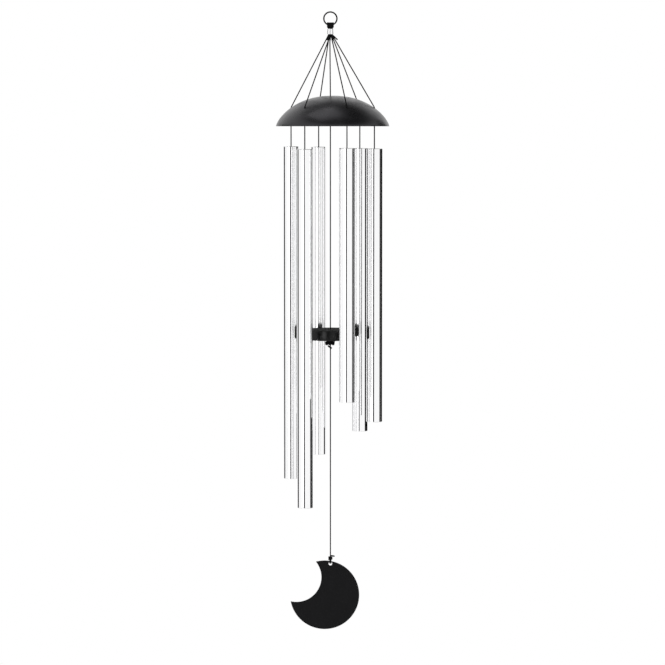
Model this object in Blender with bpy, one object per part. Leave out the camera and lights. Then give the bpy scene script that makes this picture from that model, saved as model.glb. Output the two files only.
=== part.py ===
"""Meditation chime: six tuned tubes, a striker and a crescent sail under a dome.

Metres, +Z up. The origin is the point inside the top of the hang ring where a
hook touches it. +X is to the right of someone who faces the chime, and +Y
points away from them.
"""
import math

import bmesh
import bpy
from mathutils import Matrix, Vector

# Clearances between pieces
GAP = 0.0003
FACET_GAP = 0.0006
RING_CLEARANCE = 0.00045
LOOP_SPACING = 0.0002
SLEEVE_SPACING = 0.0004
WRAP_SPACING = 0.0006

# Cord, one kind throughout
CORD_DIAMETER = 0.0015
KNOT_DIAMETER = 0.005

# Hang ring
RING_INSIDE_DIAMETER = 0.0212
RING_WIRE_DIAMETER = 0.0024

# Sleeve crimped round the cords
SLEEVE_BELOW_RING = 0.0053
SLEEVE_LENGTH = 0.0096
SLEEVE_TOP_WALL = 0.0011
SLEEVE_FOOT_WALL = 0.0019
SLEEVE_EDGE = 0.0003
FAN_LEAD = 0.0005

# Dome, as height = rise * (1 - (radius / rim radius) ** fullness) ** roundness
FAN_HEIGHT = 0.1095
DOME_DIAMETER = 0.2032
DOME_RISE = 0.0546
DOME_WALL = 0.0016
DOME_FULLNESS = 2.2
DOME_ROUNDNESS = 0.7
DOME_SHIFT = 0.004
HOLE_CIRCLE_DIAMETER = 0.152
CORD_HOLE_CLEARANCE = 0.00085
HOLE_LEAD = 0.0012

# Tubes: length, and drop from the knot in the dome to the tube's top
TUBES = (
    (0.6402, 0.0673),
    (0.6008, 0.0627),
    (0.5624, 0.0637),
    (0.5154, 0.0662),
    (0.4906, 0.0665),
    (0.4512, 0.0653),
)
FIRST_TUBE_BEARING = math.radians(229.5)
TUBE_DIAMETER = 0.0286
TUBE_WALL = 0.002
TUBE_END_EDGE = 0.0004
PIN_DIAMETER = 0.003
PIN_DEPTH = 0.010
PIN_INSET = 0.0002

# Striker
STRIKER_BELOW_RIM = 0.3646
STRIKER_DIAMETER = 0.086
STRIKER_THICKNESS = 0.0188
STRIKER_EDGE = 0.0015
STRIKER_HOLE_CLEARANCE = 0.00045

# Wound knot under the striker: wraps lie in pairs on a straight core strand
STRIKER_KNOT_DIAMETER = 0.0099
STRIKER_KNOT_PAIRS = 3
STRIKER_KNOT_START = -0.0072
PAIR_STEP = 0.0020
PAIR_SPACING = 0.0056
CORE_END = 0.0062
CORE_BULGE = 0.0012

# Sail cord, with the trimmed tail of its hitch
SAIL_HOLE_BELOW_STRIKER = 0.408
TAIL_RISE = 0.0045
TAIL_REACH = 0.0052
TAIL_BELOW_KNOT = 0.0024
TAIL_FOOT = 0.0018

# Crescent sail: a disc less a smaller bay
SAIL_DIAMETER = 0.1255
SAIL_THICKNESS = 0.0025
SAIL_EDGE = 0.0004
BAY_DIAMETER = 0.0908
BAY_OFFSET = 0.0606
BAY_BEARING = math.radians(147.8)
SAIL_HOLE_DIAMETER = 0.007
SAIL_HOLE_BRIDGE = 0.0016
SAIL_HOLE_BEARING = math.radians(79.5)

# Wound knot above the sail
SAIL_KNOT_DIAMETER = 0.0067
SAIL_KNOT_WRAPS = 2.5
SAIL_KNOT_RISE = 0.0024
SAIL_KNOT_TAIL = 0.0068
SAIL_TAIL_BEND = (0.0016, 0.0018)
SAIL_TAIL_RISE = 0.0009
LEG_PARTING = 0.0028
LEG_LANDING = 0.0005

# Mesh fineness
RING_STEPS = 48
WIRE_STEPS = 10
DOME_STEPS = 48
DOME_PROFILE_STEPS = 11
TUBE_STEPS = 24
DISC_STEPS = 36
HOLE_STEPS = 10
WRAP_STEPS = 12
ARC_STEPS = 8
CORD_BEVEL_STEPS = 2
WRAP_BEVEL_STEPS = 1
MERGE_DISTANCE = 1e-6
SHARP_ANGLE = math.radians(35)

# Trimmed ends and runs of the seven cords, from left to right on the ring.
# Each is: hole it runs to (tube number, or 0 for the centre), the leg that runs
# there, the lean of the trimmed end per unit of drop, and that end's length.
FRONT = -1
BACK = 1
CORD_RUNS = (
    (2, BACK, (-0.48, -0.12), 0.0108),
    (3, BACK, (-0.36, -0.25), 0.0106),
    (0, BACK, (-0.24, 0.08), 0.0100),
    (1, FRONT, (-0.05, 0.42), 0.0105),
    (6, FRONT, (0.30, 0.10), 0.0102),
    (4, BACK, (0.36, -0.46), 0.0112),
    (5, FRONT, (1.08, 0.22), 0.0130),
)

# Sizes that follow from the ones above
CORD_RADIUS = CORD_DIAMETER / 2
KNOT_RADIUS = KNOT_DIAMETER / 2
WIRE_RADIUS = RING_WIRE_DIAMETER / 2
RING_RADIUS = RING_INSIDE_DIAMETER / 2 + WIRE_RADIUS
RING_CENTRE = -RING_INSIDE_DIAMETER / 2
SLEEVE_TOP = -RING_INSIDE_DIAMETER - RING_WIRE_DIAMETER - SLEEVE_BELOW_RING
SLEEVE_FOOT = SLEEVE_TOP - SLEEVE_LENGTH
LOOP_PITCH = CORD_DIAMETER + LOOP_SPACING
SLEEVE_PITCH = CORD_DIAMETER + SLEEVE_SPACING
DOME_APEX = SLEEVE_FOOT - FAN_HEIGHT
DOME_RIM = DOME_APEX - DOME_RISE
HOLE_CIRCLE_RADIUS = HOLE_CIRCLE_DIAMETER / 2
STRIKER_TOP = DOME_RIM - STRIKER_BELOW_RIM
STRIKER_FOOT = STRIKER_TOP - STRIKER_THICKNESS
STRIKER_KNOT = STRIKER_FOOT - GAP - STRIKER_KNOT_DIAMETER / 2
SAIL_RADIUS = SAIL_DIAMETER / 2
SAIL_HOLE_RADIUS = SAIL_HOLE_DIAMETER / 2
SAIL_HOLE = STRIKER_FOOT - SAIL_HOLE_BELOW_STRIKER
STRADDLE = SAIL_THICKNESS / 2 + GAP + CORD_RADIUS
SAIL_PIVOT = SAIL_HOLE + SAIL_HOLE_RADIUS - STRADDLE


def clear_scene():
    """Remove every object that the file holds."""
    for old in list(bpy.data.objects):
        bpy.data.objects.remove(old, do_unlink=True)


def finish(name, colour, roughness, metallic):
    """Return a new Principled material."""
    material = bpy.data.materials.new(name)
    material.use_nodes = True
    shader = material.node_tree.nodes["Principled BSDF"]
    shader.inputs["Base Color"].default_value = (*colour, 1.0)
    shader.inputs["Roughness"].default_value = roughness
    shader.inputs["Metallic"].default_value = metallic
    material.diffuse_color = (*colour, 1.0)
    return material


def cord_finish(name):
    """Return the black braided cord's material for one piece."""
    return finish(name, (0.012, 0.012, 0.013), 0.75, 0.0)


# Placing

def world_place(piece):
    """Return where a piece's origin is, down its chain of unturned parents."""
    place = piece.location.copy()
    while piece.parent:
        piece = piece.parent
        place += piece.location
    return place


def hold(piece, parent):
    """Parent a piece and keep it where it is."""
    piece.location = piece.location - world_place(parent)
    piece.parent = parent
    return piece


def axis_empty(name, place, parent=None):
    """Return an empty on a joint's axis."""
    empty = bpy.data.objects.new(name, None)
    empty.empty_display_size = KNOT_DIAMETER
    empty.location = place
    bpy.context.collection.objects.link(empty)
    if parent:
        hold(empty, parent)
    return empty


# Making meshes and curves

def add_object(name, data, material, place=(0, 0, 0)):
    """Link a new object that wears one material."""
    piece = bpy.data.objects.new(name, data)
    piece.location = place
    data.materials.append(material)
    bpy.context.collection.objects.link(piece)
    return piece


def mesh_piece(name, shape, material, place=(0, 0, 0)):
    """Turn a bmesh into an object with smooth faces and sharp edges."""
    bmesh.ops.remove_doubles(shape, verts=shape.verts, dist=MERGE_DISTANCE)
    bmesh.ops.recalc_face_normals(shape, faces=shape.faces)
    mesh = bpy.data.meshes.new(name)
    shape.to_mesh(mesh)
    shape.free()
    mesh.shade_smooth()
    mesh.set_sharp_from_angle(angle=SHARP_ANGLE)
    return add_object(name, mesh, material, place)


def turned(name, profile, steps, material, place=(0, 0, 0), closed=True):
    """Turn a profile of (radius, height) points about the vertical."""
    shape = bmesh.new()
    points = [shape.verts.new((radius, 0, height)) for radius, height in profile]
    edges = [shape.edges.new(pair) for pair in zip(points, points[1:])]
    if closed:
        edges.append(shape.edges.new((points[-1], points[0])))
    bmesh.ops.spin(shape, geom=points + edges, cent=(0, 0, 0), axis=(0, 0, 1),
                   angle=math.tau, steps=steps)
    return mesh_piece(name, shape, material, place)


def rod_shape(shape, start, end, radius, steps):
    """Add a closed cylinder between two points to a bmesh."""
    along = Vector(end) - Vector(start)
    turn = along.to_track_quat("Z", "Y").to_matrix().to_4x4()
    middle = Matrix.Translation((Vector(start) + Vector(end)) / 2)
    bmesh.ops.create_cone(shape, cap_ends=True, segments=steps, radius1=radius,
                          radius2=radius, depth=along.length, matrix=middle @ turn)


def cord_piece(name, route, material, bevel_steps=CORD_BEVEL_STEPS, place=(0, 0, 0)):
    """Return a cord: a round tube with flat ends along a route."""
    curve = bpy.data.curves.new(name, "CURVE")
    curve.dimensions = "3D"
    curve.bevel_depth = CORD_RADIUS
    curve.bevel_resolution = bevel_steps
    curve.use_fill_caps = True
    spline = curve.splines.new("POLY")
    spline.points.add(len(route) - 1)
    for point, spot in zip(spline.points, route):
        point.co = (*(Vector(spot) - Vector(place)), 1.0)
    return add_object(name, curve, material, place)


def as_mesh(piece):
    """Swap a curve object for a mesh object of the same name and place."""
    name = piece.name
    mesh = bpy.data.meshes.new_from_object(
        piece.evaluated_get(bpy.context.evaluated_depsgraph_get()))
    place = piece.location.copy()
    bpy.data.objects.remove(piece, do_unlink=True)
    swapped = bpy.data.objects.new(name, mesh)
    swapped.location = place
    bpy.context.collection.objects.link(swapped)
    return swapped


def boolean(piece, helper, operation):
    """Cut a helper from a piece or join it on, and hide the helper."""
    modifier = piece.modifiers.new(helper.name, "BOOLEAN")
    modifier.operation = operation
    modifier.solver = "EXACT"
    modifier.object = helper
    helper.hide_render = True
    helper.display_type = "WIRE"
    return piece


def ball(name, radius, material, place):
    """Return a tight round knot."""
    shape = bmesh.new()
    bmesh.ops.create_uvsphere(shape, u_segments=WRAP_STEPS, v_segments=ARC_STEPS,
                              radius=radius)
    return mesh_piece(name, shape, material, place)


# Routes

def arc(count, first, last):
    """Return evenly spaced angles from first to last, both included."""
    return [first + (last - first) * step / count for step in range(count + 1)]


def least_gap(route):
    """Return the least gap that a wound cord leaves to itself."""
    dense = []
    for start, end in zip(route, route[1:]):
        dense += [Vector(start).lerp(Vector(end), part / 4) for part in range(4)]
    dense.append(Vector(route[-1]))
    travelled = [0.0]
    for start, end in zip(dense, dense[1:]):
        travelled.append(travelled[-1] + (end - start).length)
    nearby = 2.5 * CORD_DIAMETER
    least = math.inf
    for first, spot in enumerate(dense):
        for second in range(first + 1, len(dense)):
            if travelled[second] - travelled[first] > nearby:
                least = min(least, (dense[second] - spot).length)
    return least - CORD_DIAMETER


# Hang ring and sleeve

def hang_ring():
    """The welded wire ring, face on to the front."""
    bpy.ops.mesh.primitive_torus_add(
        location=(0, 0, RING_CENTRE), rotation=(math.pi / 2, 0, 0),
        major_segments=RING_STEPS, minor_segments=WIRE_STEPS,
        major_radius=RING_RADIUS, minor_radius=WIRE_RADIUS)
    ring = bpy.context.object
    ring.name = "hang_ring"
    ring.data.shade_smooth()
    ring.data.materials.append(finish("ring_steel", (0.03, 0.03, 0.032), 0.35, 1.0))
    return ring


def wire_height(across):
    """Return the height of the ring wire's middle, at a distance from centre."""
    return RING_CENTRE - math.sqrt(RING_RADIUS ** 2 - across ** 2)


def strand_places(slot):
    """Return a cord's place across the ring and sleeve, and its row's depth."""
    step = slot - len(CORD_RUNS) // 2
    row = SLEEVE_PITCH / 2
    if slot % 2:
        row += SLEEVE_PITCH * math.sin(math.pi / 3)
    return step * LOOP_PITCH, step * SLEEVE_PITCH / 2, row


def loop_over_ring(slot):
    """Return a cord's route from its back leg's foot to its front leg's foot."""
    across, packed, row = strand_places(slot)
    tight = WIRE_RADIUS + RING_CLEARANCE + CORD_RADIUS
    radius = max(tight, row)
    dip = math.radians(30) if row < tight else 0.0
    wire = wire_height(across)
    over = [(across, radius * math.cos(turn), wire + radius * math.sin(turn))
            for turn in arc(ARC_STEPS, -dip, math.pi + dip)]
    knee = wire
    if dip:
        knee -= radius * math.sin(dip)
        knee -= (radius * math.cos(dip) - row) / math.tan(dip)
    back = [(packed, row, SLEEVE_FOOT - FAN_LEAD), (packed, row, SLEEVE_TOP)]
    if dip:
        back.append((across, row, knee))
    else:
        back.append((across, row, wire - radius))
    front = [(spot[0], -spot[1], spot[2]) for spot in reversed(back)]
    return back + over + front


def sleeve_bore():
    """Return the radius that clears the outermost strand in the sleeve."""
    places = [strand_places(slot) for slot in range(len(CORD_RUNS))]
    farthest = max(math.hypot(packed, row) for across, packed, row in places)
    return farthest + CORD_RADIUS + GAP


def sleeve(parent):
    """The bright sleeve that clamps the cords, a little wider at its foot."""
    bore = sleeve_bore()
    top = bore + SLEEVE_TOP_WALL
    foot = bore + SLEEVE_FOOT_WALL
    profile = [
        (bore, 0),
        (top - SLEEVE_EDGE, 0),
        (top, -SLEEVE_EDGE),
        (foot, SLEEVE_EDGE - SLEEVE_LENGTH),
        (foot - SLEEVE_EDGE, -SLEEVE_LENGTH),
        (bore, -SLEEVE_LENGTH),
    ]
    piece = turned("sleeve", profile, TUBE_STEPS,
                   finish("sleeve_aluminium", (0.85, 0.85, 0.86), 0.2, 1.0),
                   (0, 0, SLEEVE_TOP))
    return hold(piece, parent)


# Dome

def dome_height(radius, skin=0.0):
    """Return the dome's height above its rim, a skin's thickness inside it."""
    share = radius / (DOME_DIAMETER / 2 - skin)
    return (DOME_RISE - skin) * (1 - share ** DOME_FULLNESS) ** DOME_ROUNDNESS


def dome_curve(skin):
    """Return (radius, height) points from the dome's middle to its rim."""
    rim = DOME_DIAMETER / 2 - skin
    radii = [rim * math.sin(turn) for turn in arc(DOME_PROFILE_STEPS, 0, math.pi / 2)]
    return [(radius, dome_height(min(radius, rim), skin)) for radius in radii]


def tube_hole(number):
    """Return where the hole for a tube's cord is, seen from above."""
    step = math.tau / len(TUBES)
    bearing = FIRST_TUBE_BEARING - (number - 1) * step
    return (DOME_SHIFT + HOLE_CIRCLE_RADIUS * math.cos(bearing),
            HOLE_CIRCLE_RADIUS * math.sin(bearing))


def cord_hole(number):
    """Return a tube's hole, or the centre cord's hole for number 0."""
    return tube_hole(number) if number else (0.0, 0.0)


def dome_radius_at(place):
    """Return how far from the dome's own middle a place is."""
    return math.hypot(place[0] - DOME_SHIFT, place[1])


def knot_centre(number):
    """Return the middle of the knot that sits under a hole in the dome."""
    place = cord_hole(number)
    radius = dome_radius_at(place)
    near, far = radius - GAP, radius + GAP
    slope = (dome_height(near, DOME_WALL) - dome_height(far, DOME_WALL)) / (far - near)
    drop = (KNOT_RADIUS + FACET_GAP) * math.hypot(1, slope)
    return Vector((*place, DOME_RIM + dome_height(radius, DOME_WALL) - drop))


def dome(parent):
    """The satin black dome, with a hole for each of the seven cords."""
    profile = dome_curve(0.0) + list(reversed(dome_curve(DOME_WALL)))
    piece = turned("dome", profile, DOME_STEPS,
                   finish("dome_black", (0.025, 0.025, 0.028), 0.45, 0.3),
                   (DOME_SHIFT, 0, DOME_RIM), closed=False)
    drills = bmesh.new()
    for number in range(len(CORD_RUNS)):
        place = cord_hole(number)
        rod_shape(drills, (*place, DOME_RIM), (*place, DOME_APEX + DOME_RISE),
                  CORD_RADIUS + CORD_HOLE_CLEARANCE, HOLE_STEPS)
    cutter = mesh_piece("dome_drills", drills, finish("drills", (1, 0, 0), 0.5, 0.0))
    hold(cutter, parent)
    hold(piece, parent)
    return boolean(piece, cutter, "DIFFERENCE")


# Cords above the dome

def upper_cord_route(slot):
    """Return a cord's whole route: trimmed end, ring, sleeve, dome hole."""
    number, running_leg, lean, trimmed = CORD_RUNS[slot]
    route = loop_over_ring(slot)
    if running_leg == BACK:
        route.reverse()
    free = Vector(route[0]) + Vector((*lean, -1)).normalized() * trimmed
    place = cord_hole(number)
    mouth = DOME_RIM + dome_height(dome_radius_at(place)) + HOLE_LEAD
    end = knot_centre(number).z + KNOT_RADIUS + GAP
    return [free, *route, (*place, mouth), (*place, end)]


def upper_cords(parent):
    """The seven cords that carry the dome, the tubes and the striker."""
    for slot, run in enumerate(CORD_RUNS):
        name = f"upper_cord_{run[0]}" if run[0] else "upper_cord_centre"
        hold(cord_piece(name, upper_cord_route(slot), cord_finish(name)), parent)


# Tubes

def tube_cord_route(knot, pin):
    """Return the route of the doubled cord from a knot, round a cross pin."""
    start = knot.z - KNOT_RADIUS - GAP
    apart = CORD_RADIUS + GAP
    reach = PIN_DIAMETER / 2 + GAP + CORD_RADIUS
    under = [(pin.x, pin.y - reach * math.cos(turn), pin.z - reach * math.sin(turn))
             for turn in arc(ARC_STEPS, 0, math.pi)]
    return [(knot.x, knot.y - apart, start), *under, (knot.x, knot.y + apart, start)]


def tube(name, length, pin, parent):
    """One open tube, drilled across near its top for the pin."""
    radius = TUBE_DIAMETER / 2
    bore = radius - TUBE_WALL
    top = PIN_DEPTH
    foot = PIN_DEPTH - length
    profile = [
        (bore + TUBE_END_EDGE, top),
        (radius - TUBE_END_EDGE, top),
        (radius, top - TUBE_END_EDGE),
        (radius, foot + TUBE_END_EDGE),
        (radius - TUBE_END_EDGE, foot),
        (bore + TUBE_END_EDGE, foot),
        (bore, foot + TUBE_END_EDGE),
        (bore, top - TUBE_END_EDGE),
    ]
    piece = turned(name, profile, TUBE_STEPS,
                   finish(f"{name}_polish", (0.9, 0.9, 0.91), 0.08, 1.0), pin)
    drill = bmesh.new()
    rod_shape(drill, (-TUBE_DIAMETER, 0, 0), (TUBE_DIAMETER, 0, 0),
              PIN_DIAMETER / 2 + GAP, HOLE_STEPS)
    cutter = mesh_piece(f"{name}_drill", drill, finish("drill", (1, 0, 0), 0.5, 0.0), pin)
    hold(cutter, parent)
    hold(piece, parent)
    return boolean(piece, cutter, "DIFFERENCE")


def cross_pin(name, pin, parent):
    """The pin across a tube that its cord goes round."""
    shape = bmesh.new()
    half = TUBE_DIAMETER / 2 - PIN_INSET
    rod_shape(shape, (-half, 0, 0), (half, 0, 0), PIN_DIAMETER / 2, HOLE_STEPS)
    piece = mesh_piece(name, shape, finish(name, (0.6, 0.6, 0.6), 0.3, 1.0), pin)
    return hold(piece, parent)


def tube_line(number, canopy):
    """One tube's knot, doubled cord, cross pin and tube, each on its axis."""
    length, drop = TUBES[number - 1]
    knot = knot_centre(number)
    pin = Vector((knot.x, knot.y, knot.z - drop - PIN_DEPTH))
    to_fro = axis_empty(f"tube_{number}_to_fro_axis", knot, canopy)
    sideways = axis_empty(f"tube_{number}_sideways_axis", knot, to_fro)
    rock = axis_empty(f"tube_{number}_rock_axis", pin, sideways)
    name = f"tube_knot_{number}"
    hold(ball(name, KNOT_RADIUS, cord_finish(name), knot), to_fro)
    name = f"tube_cord_{number}"
    route = tube_cord_route(knot, pin)
    hold(cord_piece(name, route, cord_finish(name), place=knot), sideways)
    cross_pin(f"tube_pin_{number}", pin, rock)
    tube(f"tube_{number}", length, pin, rock)


# Striker and the wound knot under it

def striker(parent):
    """The black disc that swings between the tubes."""
    radius = STRIKER_DIAMETER / 2
    hole = CORD_RADIUS + STRIKER_HOLE_CLEARANCE
    inner = radius - STRIKER_EDGE
    profile = [(hole, STRIKER_THICKNESS)]
    for turn in arc(3, math.pi / 2, 0):
        profile.append((inner + STRIKER_EDGE * math.cos(turn),
                        STRIKER_THICKNESS - STRIKER_EDGE * (1 - math.sin(turn))))
    for turn in arc(3, 0, -math.pi / 2):
        profile.append((inner + STRIKER_EDGE * math.cos(turn),
                        STRIKER_EDGE * (1 + math.sin(turn))))
    profile.append((hole, 0))
    piece = turned("striker", profile, DISC_STEPS,
                   finish("striker_black", (0.02, 0.02, 0.02), 0.5, 0.0),
                   (0, 0, STRIKER_FOOT))
    return hold(piece, parent)


def wrap_across(turns):
    """Return how far along its core the striker knot's winding has got."""
    pair_gap = PAIR_SPACING - PAIR_STEP
    whole = math.floor(turns)
    part = turns - whole
    done = (whole // 2) * PAIR_SPACING + (whole % 2) * PAIR_STEP
    return STRIKER_KNOT_START + done + part * (pair_gap if whole % 2 else PAIR_STEP)


def striker_knot_route():
    """Return the core strand, the bend at its left end and the wraps over it."""
    wrap = STRIKER_KNOT_DIAMETER / 2 - CORD_RADIUS
    route = [Vector((CORE_END, 0, 0)), Vector((0, 0, 0))]
    half_turn = WRAP_STEPS // 2
    for step in range(half_turn):
        part = step / half_turn
        reach = wrap * (1 - math.cos(math.pi * part)) / 2
        turn = math.pi * part
        across = STRIKER_KNOT_START - CORE_BULGE * math.sin(math.pi * part)
        route.append(Vector((across, -reach * math.sin(turn), reach * math.cos(turn))))
    turns = 2 * STRIKER_KNOT_PAIRS - 0.5
    for step in range(int(turns * WRAP_STEPS) + 1):
        turn = math.pi + math.tau * step / WRAP_STEPS
        route.append(Vector((wrap_across(step / WRAP_STEPS),
                             -wrap * math.sin(turn), wrap * math.cos(turn))))
    return route


def striker_knot(parent):
    """The wound knot that carries the striker."""
    centre = Vector((0, 0, STRIKER_KNOT))
    route = [centre + spot for spot in striker_knot_route()]
    print(f"striker_knot least gap {1000 * least_gap(route):.2f} mm")
    name = "striker_knot"
    piece = cord_piece(name, route, cord_finish(name), WRAP_BEVEL_STEPS, centre)
    return hold(piece, parent)


# Sail

def sail_centre():
    """Return the middle of the sail's disc, from the hole that it hangs by."""
    reach = SAIL_RADIUS - SAIL_HOLE_BRIDGE - SAIL_HOLE_RADIUS
    return Vector((-reach * math.cos(SAIL_HOLE_BEARING), 0,
                   SAIL_HOLE - reach * math.sin(SAIL_HOLE_BEARING)))


def sail_top():
    """Return the height of the sail's edge straight above its hole."""
    centre = sail_centre()
    return centre.z + math.sqrt(SAIL_RADIUS ** 2 - centre.x ** 2)


def crescent_outline():
    """Return the crescent's outline about the disc's middle, as (x, z) points."""
    bay = BAY_DIAMETER / 2
    along = (SAIL_RADIUS ** 2 - bay ** 2 + BAY_OFFSET ** 2) / (2 * BAY_OFFSET)
    horn = math.acos(along / SAIL_RADIUS)
    bay_horn = math.acos((BAY_OFFSET - along) / bay)
    outer = arc(44, BAY_BEARING - horn, BAY_BEARING + horn - math.tau)
    middle = Vector((math.cos(BAY_BEARING), math.sin(BAY_BEARING))) * BAY_OFFSET
    outline = [Vector((math.cos(turn), math.sin(turn))) * SAIL_RADIUS for turn in outer]
    facing = BAY_BEARING + math.pi
    for turn in arc(18, facing - bay_horn, facing + bay_horn)[1:-1]:
        outline.append(middle + Vector((math.cos(turn), math.sin(turn))) * bay)
    return outline


def sail(parent):
    """The flat crescent that catches the wind."""
    pivot = Vector((0, 0, SAIL_PIVOT))
    offset = sail_centre() - pivot
    half = SAIL_THICKNESS / 2
    shape = bmesh.new()
    face = shape.faces.new([
        shape.verts.new((offset.x + spot.x, half, offset.z + spot.y))
        for spot in crescent_outline()])
    grown = bmesh.ops.extrude_face_region(shape, geom=[face])
    moved = [item for item in grown["geom"] if isinstance(item, bmesh.types.BMVert)]
    bmesh.ops.translate(shape, verts=moved, vec=(0, -SAIL_THICKNESS, 0))
    piece = mesh_piece("sail", shape,
                       finish("sail_black", (0.018, 0.018, 0.019), 0.5, 0.2), pivot)
    drill = bmesh.new()
    hole = SAIL_HOLE - SAIL_PIVOT
    rod_shape(drill, (0, -SAIL_THICKNESS, hole), (0, SAIL_THICKNESS, hole),
              SAIL_HOLE_RADIUS, 2 * HOLE_STEPS)
    cutter = mesh_piece("sail_drill", drill, finish("drill", (1, 0, 0), 0.5, 0.0), pivot)
    hold(cutter, parent)
    hold(piece, parent)
    boolean(piece, cutter, "DIFFERENCE")
    edge = piece.modifiers.new("edge", "BEVEL")
    edge.width = SAIL_EDGE
    edge.segments = 1
    edge.limit_method = "ANGLE"
    edge.angle_limit = SHARP_ANGLE
    return piece


def sail_knot_top():
    """Return the height where the sail's knot meets its cord."""
    wraps = SAIL_KNOT_WRAPS * (CORD_DIAMETER + WRAP_SPACING)
    return sail_top() + SAIL_KNOT_RISE + wraps + CORD_DIAMETER


def sail_knot_route():
    """Return the straight leg, the loop through the sail, the wraps and a tail."""
    edge = sail_top()
    wrap = SAIL_KNOT_DIAMETER / 2 - CORD_RADIUS
    pitch = CORD_DIAMETER + WRAP_SPACING
    turning = SAIL_HOLE + SAIL_HOLE_RADIUS
    route = [(0, 0, sail_knot_top()), (0, 0, edge + LEG_PARTING),
             (0, -STRADDLE, edge + LEG_LANDING)]
    route += [(0, -STRADDLE * math.cos(turn), turning - STRADDLE * math.sin(turn))
              for turn in arc(ARC_STEPS, 0, math.pi)]
    route.append((0, STRADDLE, edge + LEG_LANDING))
    first = edge + SAIL_KNOT_RISE
    for step in range(round(SAIL_KNOT_WRAPS * WRAP_STEPS) + 1):
        turn = math.pi / 2 + math.tau * step / WRAP_STEPS
        route.append((wrap * math.cos(turn), wrap * math.sin(turn),
                      first + pitch * step / WRAP_STEPS))
    last = first + pitch * SAIL_KNOT_WRAPS
    bend_across, bend_rise = SAIL_TAIL_BEND
    route.append((bend_across, -wrap, last + bend_rise))
    route.append((SAIL_KNOT_TAIL, -wrap, last + SAIL_TAIL_RISE))
    return [Vector(spot) for spot in route]


def sail_knot(parent):
    """The wound knot above the sail, with the loop that goes through its hole."""
    route = sail_knot_route()
    print(f"sail_knot least gap {1000 * least_gap(route):.2f} mm")
    name = "sail_knot"
    piece = cord_piece(name, route, cord_finish(name), WRAP_BEVEL_STEPS)
    return hold(piece, parent)


def sail_cord(parent):
    """The cord from the striker's knot to the sail's, with its trimmed tail."""
    below_knot = STRIKER_KNOT - STRIKER_KNOT_DIAMETER / 2
    name = "sail_cord"
    run = [(0, 0, below_knot - FACET_GAP), (0, 0, sail_knot_top() + GAP)]
    piece = as_mesh(cord_piece(name, run, cord_finish(name)))
    tail_top = below_knot - TAIL_BELOW_KNOT
    tail = [(TAIL_FOOT - TAIL_REACH, -CORD_RADIUS, tail_top),
            (TAIL_FOOT, -CORD_RADIUS, tail_top - TAIL_RISE)]
    helper = as_mesh(cord_piece("sail_cord_tail", tail, cord_finish("tail")))
    hold(helper, parent)
    hold(piece, parent)
    return boolean(piece, helper, "UNION")


def striker_line(canopy):
    """Everything that hangs from the dome's middle."""
    knot = knot_centre(0)
    to_fro = axis_empty("striker_to_fro_axis", knot, canopy)
    sideways = axis_empty("striker_sideways_axis", knot, to_fro)
    hold(ball("centre_knot", KNOT_RADIUS, cord_finish("centre_knot"), knot), to_fro)
    route = [(0, 0, knot.z - KNOT_RADIUS - GAP), (0, 0, STRIKER_FOOT)]
    name = "striker_cord"
    hold(cord_piece(name, route, cord_finish(name), place=knot), sideways)
    spin = axis_empty("striker_turn_axis", (0, 0, STRIKER_FOOT), sideways)
    striker(spin)
    sail_to_fro = axis_empty("sail_to_fro_axis", (0, 0, STRIKER_KNOT), sideways)
    sail_sideways = axis_empty("sail_sideways_axis", (0, 0, STRIKER_KNOT), sail_to_fro)
    striker_knot(sail_to_fro)
    sail_cord(sail_sideways)
    twist = axis_empty("sail_turn_axis", (0, 0, sail_knot_top()), sail_sideways)
    sail_knot(twist)
    sail(axis_empty("sail_rock_axis", (0, 0, SAIL_PIVOT), twist))


def main():
    """Build the whole chime."""
    clear_scene()
    hang_ring()
    outermost = strand_places(0)[0]
    swing = (wire_height(0) + wire_height(outermost)) / 2
    canopy = axis_empty("hanger_swing_axis", (0, 0, swing))
    sleeve(canopy)
    upper_cords(canopy)
    dome(canopy)
    for number in range(1, len(TUBES) + 1):
        tube_line(number, canopy)
    striker_line(canopy)


main()
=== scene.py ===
from math import acos, atan, cos, hypot, pi, radians, sin, sqrt, tan, tau

import bmesh
import bpy
from bpy.props import FloatProperty, FloatVectorProperty, IntProperty, PointerProperty
from mathutils import Matrix, Vector


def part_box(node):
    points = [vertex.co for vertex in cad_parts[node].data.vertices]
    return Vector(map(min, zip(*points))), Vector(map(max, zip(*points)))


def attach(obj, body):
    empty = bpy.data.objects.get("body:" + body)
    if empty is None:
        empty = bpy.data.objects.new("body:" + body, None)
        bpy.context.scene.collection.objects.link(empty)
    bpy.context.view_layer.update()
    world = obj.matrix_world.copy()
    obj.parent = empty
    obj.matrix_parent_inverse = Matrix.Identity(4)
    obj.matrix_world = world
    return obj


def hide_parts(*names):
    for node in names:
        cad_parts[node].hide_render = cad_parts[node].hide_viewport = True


bl_info = {
    "name": "Meditation chime",
    "version": (1, 0, 0),
    "blender": (4, 5, 0),
    "location": "View3D > Sidebar > Chime",
    "description": "Dresses a hanging chime: dome, tubes, striker, sail, cords and knots",
    "category": "Add Mesh",
}

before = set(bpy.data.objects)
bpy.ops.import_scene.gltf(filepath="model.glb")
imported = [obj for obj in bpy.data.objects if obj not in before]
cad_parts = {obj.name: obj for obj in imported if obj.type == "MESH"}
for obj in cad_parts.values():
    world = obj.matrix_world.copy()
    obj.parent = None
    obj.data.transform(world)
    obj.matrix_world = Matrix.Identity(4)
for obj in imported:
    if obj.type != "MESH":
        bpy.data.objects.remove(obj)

TUBE_COUNT = 6
CENTRE = 0
FRONT = -1
BACK = 1
WHITE = (1.0, 1.0, 1.0)
MERGE_DISTANCE = 1e-6
SHARP_ANGLE = radians(38)
DRILL_SIDES = 28
WRAP_STEPS = 28
SENSOR = 36.0
PHOTO_WIDTH = 665

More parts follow.
